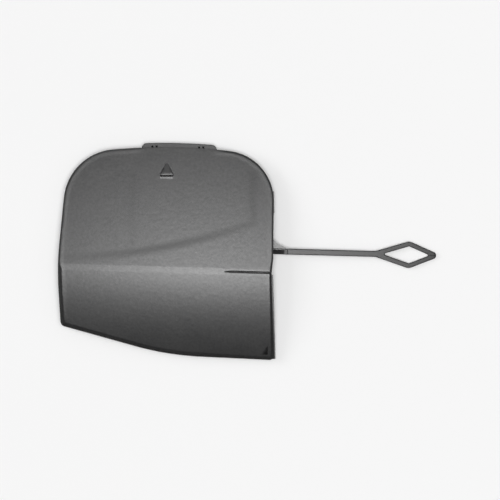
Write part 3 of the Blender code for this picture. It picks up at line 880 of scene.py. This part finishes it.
def hook_tab(panel, trees):
    """The flat tab behind the top edge, with two pairs of small slots."""
    middle = TAB_OFFSET
    left, right = middle - TAB_WIDTH / 2, middle + TAB_WIDTH / 2
    root = min(top_y(left), top_y(right)) - RIM / 2
    tip = []
    for step in range(TAB_TIP_STEPS + 1):
        x = left + TAB_WIDTH * step / TAB_TIP_STEPS
        tip.append((x, top_y(x) + TAB_REACH, TAB_RADIUS if step in (0, TAB_TIP_STEPS) else 0))
    corners = [(left, root, 0), *tip, (right, root, 0)]
    tab = plate("tab", rounded(corners), -TAB_THICKNESS, 0, TAB_EDGE, segments=TAB_EDGE_SEGMENTS)
    for side in (-1, 1):
        x = middle + SLOT_OFFSET + side * SLOT_PAIR_SPACING / 2 - (SLOT_GAP + SLOT_WIDTH) / 2
        y = top_y(x) + TAB_REACH - SLOT_FROM_TIP
        pair = row_of(slot(x, y), trees, 2, along=SLOT_GAP + SLOT_WIDTH)
        tab = joined(tab, pair, "DIFFERENCE")
    edge = top_y(middle)
    face = surface_height(panel, middle, edge - EDGE_CLEAR) - EDGE_CLEAR * FORM["Upper slope at top"]
    place = Matrix.Translation((0, edge, face - TAB_LEVEL))
    tilt = Matrix.Rotation(-TAB_TILT, 4, "X")
    return placed(tab, place @ tilt @ Matrix.Translation((0, -edge, 0)))


def loop_hole():
    """The diamond hole seen from above, from the middle of the loop."""
    return [
        (STRAP_LENGTH - LOOP_HOLE_NEAR, 0, LOOP_HOLE_RADIUS),
        (STRAP_LENGTH, LOOP_HOLE_HALF_WIDTH, LOOP_HOLE_RADIUS),
        (STRAP_LENGTH + LOOP_HOLE_FAR, 0, LOOP_HOLE_RADIUS),
        (STRAP_LENGTH, -LOOP_HOLE_HALF_WIDTH, LOOP_HOLE_RADIUS),
    ]


def strap_outline():
    """The strap and its loop seen from above, clockwise from inside the rim."""
    half = STRAP_WIDTH / 2
    inside = -RIM / 2
    near = math.atan2(LOOP_HOLE_HALF_WIDTH, LOOP_HOLE_NEAR)
    far = math.atan2(LOOP_HOLE_HALF_WIDTH, LOOP_HOLE_FAR)
    side = LOOP_HOLE_HALF_WIDTH + LOOP_BAR / math.cos((near + far) / 2)
    neck = STRAP_LENGTH - (side - half) / math.tan(near)
    tip = STRAP_LENGTH + LOOP_HOLE_FAR + LOOP_BAR / math.sin(far)
    return [
        (inside, half, 0),
        (neck, half, LOOP_SIDE_RADIUS),
        (STRAP_LENGTH, side, LOOP_SIDE_RADIUS),
        (tip, 0, LOOP_TIP_RADIUS),
        (STRAP_LENGTH, -side, LOOP_SIDE_RADIUS),
        (neck, -half, LOOP_SIDE_RADIUS),
        (inside, -half, 0),
    ]


def strap(panel, trees):
    """The strap, its loop and the flat gusset at its root, with a ramp that braces it against the side."""
    low = -STRAP_THICKNESS
    body = plate("strap", rounded(strap_outline()), low, 0, STRAP_EDGE, hole=rounded(loop_hole()))
    tip = max(v.co.x for v in body.data.vertices)
    cut_into_facets(body, STRAP_FACET, (0,))
    body = through_tree(body, trees["sag"], {"Fall": STRAP_FALL, "End": tip, "Finish": trees["finish"]})
    inside = -RIM / 2
    side = [(inside, low / 2), (inside, RAMP_HEIGHT)]
    for step in range(RAMP_STEPS + 1):
        share = step / RAMP_STEPS
        fall = (RAMP_HEIGHT - RAMP_LAND_HEIGHT) * (1 - share) ** RAMP_POWER
        side.append((RAMP_LENGTH * share, RAMP_LAND_HEIGHT + fall))
    end = RAMP_LENGTH + RAMP_LAND
    side += [(end, RAMP_LAND_HEIGHT), (end + RAMP_LAND_HEIGHT, 0), (end + RAMP_LAND_HEIGHT, low / 2)]
    half = STRAP_WIDTH / 2 - STRAP_EDGE / 2
    body = joined(body, bar("ramp", side, (-half, half * RAMP_SHARE)))
    edge = STRAP_WIDTH / 2
    gusset = [
        (inside, edge + GUSSET_WIDTH, 0),
        (0, edge + GUSSET_WIDTH, 0),
        (GUSSET_LENGTH * GUSSET_WAIST[0], edge + GUSSET_WIDTH * GUSSET_WAIST[1], GUSSET_LENGTH),
        (GUSSET_LENGTH * GUSSET_END, edge - STRAP_EDGE, 0),
        (inside, edge - STRAP_EDGE, 0),
    ]
    body = joined(body, plate("gusset", rounded(gusset), -GUSSET_LEVEL - GUSSET_THICKNESS, -GUSSET_LEVEL))
    root = right_side_x(STRAP_RISE)
    face = surface_height(panel, root - EDGE_CLEAR, STRAP_RISE)
    level = face - RIM_DEPTH + STRAP_FROM_RIM + STRAP_THICKNESS
    place = Matrix.Translation((root, STRAP_RISE, level))
    return placed(body, place @ Matrix.Rotation(STRAP_SKEW, 4, "Z"))


def snap_leg(panel, x, y, facing):
    """A snap leg behind the face at x, y, with its barb towards facing, and a gusset behind it."""
    top = surface_height(panel, x, y) - SKIN + OVERLAP
    thick = LEG_THICKNESS
    profile = [
        (0, 0),
        (LEG_LAND, 0),
        (thick + LEG_BARB, LEG_BARB_HEIGHT),
        (thick + LEG_BARB, LEG_BARB_HEIGHT + LEG_LAND),
        (thick, LEG_BARB_HEIGHT + LEG_LAND + LEG_BARB),
        (thick, top),
        (0, top),
    ]
    outline = [(thick / 2, top), (-LEG_GUSSET_LENGTH, top), (thick / 2, LEG_GUSSET_FOOT)]
    brace = bar("brace", outline, (-LEG_GUSSET / 2, LEG_GUSSET / 2))
    leg = joined(bar("leg", profile, (-LEG_WIDTH / 2, LEG_WIDTH / 2)), brace)
    return placed(leg, Matrix.Translation((x, y, 0)) @ Matrix.Rotation(facing, 4, "Z"))


def snap_legs(panel):
    """Two legs along the left side and one along the bottom."""
    inwards = RIM + LEG_FROM_RIM + LEG_BARB + LEG_THICKNESS
    legs = [snap_leg(panel, left_side_x(y) + inwards, y, math.pi) for y in LEFT_LEG_RISES]
    corners = panel_corners()
    bend, foot = Vector(corners["bend"][:2]), Vector(corners["right_foot"][:2])
    edge = bend.lerp(foot, (BOTTOM_LEG_OFFSET - bend.x) / (foot.x - bend.x)).y
    legs.append(snap_leg(panel, BOTTOM_LEG_OFFSET, edge + inwards, -math.pi / 2))
    return legs


def moulding(trees):
    """The whole cover as one mesh, drawn from the middle of the crease."""
    body = blank()
    hollow = plate("hollow", panel_outline(RIM), -RIM_DEPTH - OVERLAP, -SKIN)
    body = joined(body, hollow, "DIFFERENCE")
    strips = [side_strip(name, **strip) for name, strip in SIDE_STRIPS.items()]
    for part in (back_ribs(trees), ejector_marks(trees), *strips, mark()):
        body = joined(body, part)
    for part in (groove(), corner_pocket()):
        body = joined(body, part, "DIFFERENCE")
    cut_into_facets(body, PANEL_FACET, (0, 1))
    cut_along_crease(body)
    panel = through_tree(body, trees["form"], {**FORM, "Finish": trees["finish"]})
    for part in (hook_tab(panel, trees), strap(panel, trees), *snap_legs(panel)):
        panel = joined(panel, part)
    return panel


def noise(tree, place, size, detail):
    """Noise whose blotches are as wide as size."""
    scale = sums(tree, "DIVIDE", 1, size)
    values = {"Vector": place, "Scale": scale, "Detail": detail}
    return add_node(tree, "ShaderNodeTexNoise", values).outputs[0]


def gap(tree, first, second):
    """How far apart two numbers are."""
    return sums(tree, "ABSOLUTE", sums(tree, "SUBTRACT", first, second))


def fade(tree, distance, reach):
    """A mask that falls smoothly from 1 to 0 as the distance grows to the reach."""
    values = {"Value": distance, "From Min": 0, "From Max": reach, "To Min": 1, "To Max": 0}
    return add_node(tree, "ShaderNodeMapRange", values, interpolation_type="SMOOTHSTEP").outputs[0]


def grain_group():
    """Fine moulded grain over slow ripples, as a height in metres, and how the gloss varies with it."""
    tree, given = new_group("Moulded grain", GRAIN, ["Height", "Mottle"])
    grain = noise(tree, given["Place"], given["Grain size"], GRAIN_DETAIL)
    ripple = noise(tree, given["Place"], given["Ripple size"], GRAIN_DETAIL)
    mottle = noise(tree, given["Place"], given["Mottle size"], MOTTLE_DETAIL)
    slow = sums(tree, "MULTIPLY", ripple, given["Ripple depth"])
    height = sums(tree, "MULTIPLY_ADD", grain, given["Grain depth"], slow)
    add_node(tree, "NodeGroupOutput", [height, mottle])
    return tree


def dust_group():
    """Where dust lies: soft patches, and two specks."""
    tree, given = new_group("Handling dust", DUST, ["Dust", "Specks"])
    patches = noise(tree, given["Place"], given["Patch size"], DUST_DETAIL)
    specks = 0
    for x, y in SPECKS:
        at = parts_of(tree, given["Place"])
        sides = [sums(tree, "SUBTRACT", at[0], x), sums(tree, "SUBTRACT", at[1], y)]
        squares = [sums(tree, "MULTIPLY", side, side) for side in sides]
        distance = sums(tree, "SQRT", sums(tree, "ADD", *squares))
        specks = sums(tree, "MAXIMUM", fade(tree, distance, given["Speck radius"]), specks)
    add_node(tree, "NodeGroupOutput", [patches, specks])
    return tree


def painted_reflection_group():
    """Where a dark reflection is painted into the face's gloss by thinning its coat: near a curve y = rise +
    lean x + curl x squared, up from its end, and more faintly in a band up the face.
    """
    tree, given = new_group("Painted dark reflection", PAINTED_REFLECTION, ["Smear"])
    x, y, _ = parts_of(tree, given["Place"])
    straight = sums(tree, "MULTIPLY_ADD", x, given["Lean"], given["Rise"])
    square = sums(tree, "MULTIPLY", x, x)
    middle = sums(tree, "MULTIPLY_ADD", square, given["Curl"], straight)
    off_curve = gap(tree, y, middle)
    past_end = sums(tree, "MAXIMUM", sums(tree, "SUBTRACT", x, given["End"]), 0)
    along = fade(tree, sums(tree, "MAXIMUM", off_curve, past_end), given["Half width"])
    off_side = gap(tree, x, given["End"])
    below = sums(tree, "SUBTRACT", middle, y)
    above = sums(tree, "SUBTRACT", y, given["Top"])
    outside = sums(tree, "MAXIMUM", sums(tree, "MAXIMUM", below, above), off_side)
    up = fade(tree, outside, given["Half width"])
    strength = fade(tree, gap(tree, x, given["Middle"]), given["Reach"])
    dark_reflection = sums(tree, "MULTIPLY", sums(tree, "MAXIMUM", along, up), strength)
    off_band = gap(tree, x, given["Band"])
    beyond_band = sums(tree, "MAXIMUM", above, sums(tree, "SUBTRACT", given["Band foot"], y))
    band = fade(tree, sums(tree, "MAXIMUM", off_band, beyond_band), given["Half width"])
    band = sums(tree, "MULTIPLY", band, given["Band share"])
    add_node(tree, "NodeGroupOutput", [sums(tree, "MAXIMUM", dark_reflection, band)])
    return tree


def plastic(made, groups, origin, roughness, coat):
    """Dark grey moulded plastic: its grain, its dust and, where it has a gloss coat, the dark reflection
    painted into it by thinning that coat.
    """
    made.use_nodes = True
    tree = made.node_tree
    shader = tree.nodes["Principled BSDF"]
    seen = add_node(tree, "ShaderNodeTexCoord").outputs["Object"]
    place = add_node(tree, "ShaderNodeMapping", {"Vector": seen, "Location": -origin}).outputs[0]
    dust = add_node(tree, "ShaderNodeGroup", {"Place": place, **DUST}, node_tree=groups["dust"]).outputs
    most = sums(tree, "MAXIMUM", sums(tree, "MULTIPLY", dust["Dust"], DUST_SHARE), dust["Specks"])
    ramp = add_node(tree, "ShaderNodeValToRGB", [most])
    ramp.color_ramp.elements[0].position = DUST_FROM * DUST_SHARE
    ramp.color_ramp.elements[0].color = PLASTIC
    ramp.color_ramp.elements[1].color = SPECK_COLOUR
    ramp.color_ramp.elements.new(DUST_SHARE).color = DUSTY_PLASTIC
    rough = sums(tree, "MULTIPLY_ADD", dust["Dust"], ROUGHNESS_CHANGE, roughness - ROUGHNESS_CHANGE / 2)
    grain = add_node(tree, "ShaderNodeGroup", {"Place": place, **GRAIN}, node_tree=groups["grain"]).outputs
    values = {"Height": grain["Height"], "Distance": 1, "Strength": 1}
    bump = add_node(tree, "ShaderNodeBump", values).outputs[0]
    fill(tree, shader, {"Base Color": ramp.outputs[0], "Roughness": rough, "Normal": bump})
    if not coat:
        return
    # Painted reflection: the coat is thinned where a dark thing's reflection should lie, so that the face
    # shows darker there.
    dark_reflection = add_node(tree, "ShaderNodeGroup", {"Place": place, **PAINTED_REFLECTION}, node_tree=groups["dark_reflection"]).outputs[0]
    weight = sums(tree, "MULTIPLY_ADD", dark_reflection, -coat, coat)
    mottle = sums(tree, "MULTIPLY_ADD", grain["Mottle"], GLOSS_MOTTLE, 1 - GLOSS_MOTTLE / 2)
    weight = sums(tree, "MULTIPLY", weight, mottle)
    fill(tree, shader, {"Coat Weight": weight, "Coat Roughness": FACE_COAT_ROUGHNESS, "Coat Normal": bump})


def floor_glow(tree, origin, place, power):
    """What the floor lacks, point by point, of the light that a lamp gives it under the cover."""
    seen = add_node(tree, "ShaderNodeTexCoord").outputs["Object"]
    lamp = Vector(place)
    spot = tuple(origin + lamp)
    way = add_node(tree, "ShaderNodeVectorMath", [spot, seen], operation="SUBTRACT").outputs[0]
    far = add_node(tree, "ShaderNodeVectorMath", [way], operation="LENGTH").outputs["Value"]
    facing = add_node(tree, "ShaderNodeVectorMath", [way, place], operation="DOT_PRODUCT").outputs["Value"]
    lit = sums(tree, "DIVIDE", sums(tree, "MULTIPLY", facing, lamp.length**2), sums(tree, "POWER", far, 4))
    level = FLOOR_COLOUR[0] * power * lamp.z / (math.pi**2 * lamp.length**3)
    return sums(tree, "MULTIPLY_ADD", lit, -level, level)


def floor_material(origin):
    """A matt floor, which glows by as much as the lamps' light falls off away from the cover."""
    made = bpy.data.materials.new("pale_floor")
    made.use_nodes = True
    tree = made.node_tree
    lacks = [floor_glow(tree, origin, lamp["place"], lamp["power"]) for lamp in LAMPS.values()]
    values = {
        "Base Color": FLOOR_COLOUR,
        "Roughness": FLOOR_ROUGHNESS,
        "Specular IOR Level": 0,
        "Emission Color": sums(tree, "MAXIMUM", sums(tree, "ADD", *lacks), 0),
        "Emission Strength": 1,
    }
    fill(tree, tree.nodes["Principled BSDF"], values)
    return made


def add_floor(origin):
    shape = bmesh.new()
    bmesh.ops.create_grid(shape, x_segments=1, y_segments=1, size=FLOOR_HALF_WIDTH)
    floor = mesh_object("floor", shape)
    floor.data.materials.append(floor_material(origin))


def add_lamp(name, origin, place, size, power):
    """A square softbox that faces the middle of the crease."""
    data = bpy.data.lights.new(name, "AREA")
    data.shape = "SQUARE"
    data.size = size
    data.energy = power
    lamp = put(name, data)
    lamp.location = origin + Vector(place)
    lamp.rotation_euler = Vector(place).to_track_quat("Z", "Y").to_euler()
    lamp.visible_camera = False


def add_light(origin):
    for name, lamp in LAMPS.items():
        add_lamp(name, origin, **lamp)
    add_room()


def add_room():
    """A room that is dim near the horizon, with a pale backdrop that only the camera sees."""
    world = bpy.data.worlds.new("room")
    world.use_nodes = True
    tree = world.node_tree
    sight = add_node(tree, "ShaderNodeTexCoord").outputs["Generated"]
    height = sums(tree, "MAXIMUM", parts_of(tree, sight)[2], 0)
    overhead = sums(tree, "MULTIPLY", height, height)
    room = sums(tree, "MULTIPLY", overhead, ROOM_OVERHEAD)
    seen = add_node(tree, "ShaderNodeLightPath").outputs["Is Camera Ray"]
    more = sums(tree, "SUBTRACT", BACKDROP_LEVEL, room)
    strength = sums(tree, "MULTIPLY_ADD", seen, more, room)
    fill(tree, tree.nodes["Background"], {"Color": (1, 1, 1, 1), "Strength": strength})
    bpy.context.scene.world = world


def add_camera(origin):
    data = bpy.data.cameras.new("camera")
    data.sensor_width = SENSOR
    data.lens = LENS
    camera = put("camera", data)
    camera.location = (origin.x + CAMERA_OVER[0], origin.y + CAMERA_OVER[1], CAMERA_HEIGHT)
    bpy.context.scene.camera = camera


def paint(cover, face_finish):
    """Gives the face's finish to what shows from the front, other than the tab and the strap."""
    edge = surface_height(cover, TAB_OFFSET, top_y(TAB_OFFSET) - EDGE_CLEAR)
    strap_start = right_side_x(STRAP_RISE) + RAMP_LENGTH
    cover.data.materials.append(face_finish)
    for side in cover.data.polygons:
        x, y, z = side.center
        over_tab = abs(x - TAB_OFFSET) < TAB_WIDTH / 2 + RIM and y > CROWN_RISE * TAB_FROM
        on_tab = over_tab and z < edge - TAB_LEVEL / 2
        if side.normal.z > FRONT_FROM and x < strap_start and not on_tab:
            side.material_index = 1


def smooth(cover):
    """Smooth shading with sharp edges, in which large flat facets stay flat."""
    cover.data.shade_smooth()
    cover.data.set_sharp_from_angle(angle=SHARP_FROM)
    weighted = cover.modifiers.new("flat_facets", "WEIGHTED_NORMAL")
    weighted.keep_sharp = True
    evaluated = cover.evaluated_get(bpy.context.evaluated_depsgraph_get())
    mesh = bpy.data.meshes.new_from_object(evaluated)
    cover.modifiers.clear()
    cover.data = mesh


def main():
    finish = bpy.data.materials.new("matt_plastic")
    face_finish = bpy.data.materials.new("satin_plastic")
    trees = {"finish": finish, "form": form_tree(), "sag": sag_tree(), "row": row_tree()}
    cover = moulding(trees)
    cover.data.materials.clear()
    cover.data.materials.append(finish)
    paint(cover, face_finish)
    low = Vector([min(v.co[i] for v in cover.data.vertices) for i in range(3)])
    origin = CAD_BOX[0] - low
    origin.z = 0
    placed(cover, Matrix.Translation(origin))
    smooth(cover)
    # The third group paints a dark reflection into the face's gloss.
    groups = {"grain": grain_group(), "dust": dust_group(), "dark_reflection": painted_reflection_group()}
    plastic(finish, groups, origin, BACK_ROUGHNESS, 0)
    plastic(face_finish, groups, origin, FACE_ROUGHNESS, FACE_COAT)
    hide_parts("tow_hook_cover")
    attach(cover, "root")
    add_floor(origin)
    add_light(origin)
    add_camera(origin)
    bpy.context.scene.view_settings.view_transform = "Standard"


main()
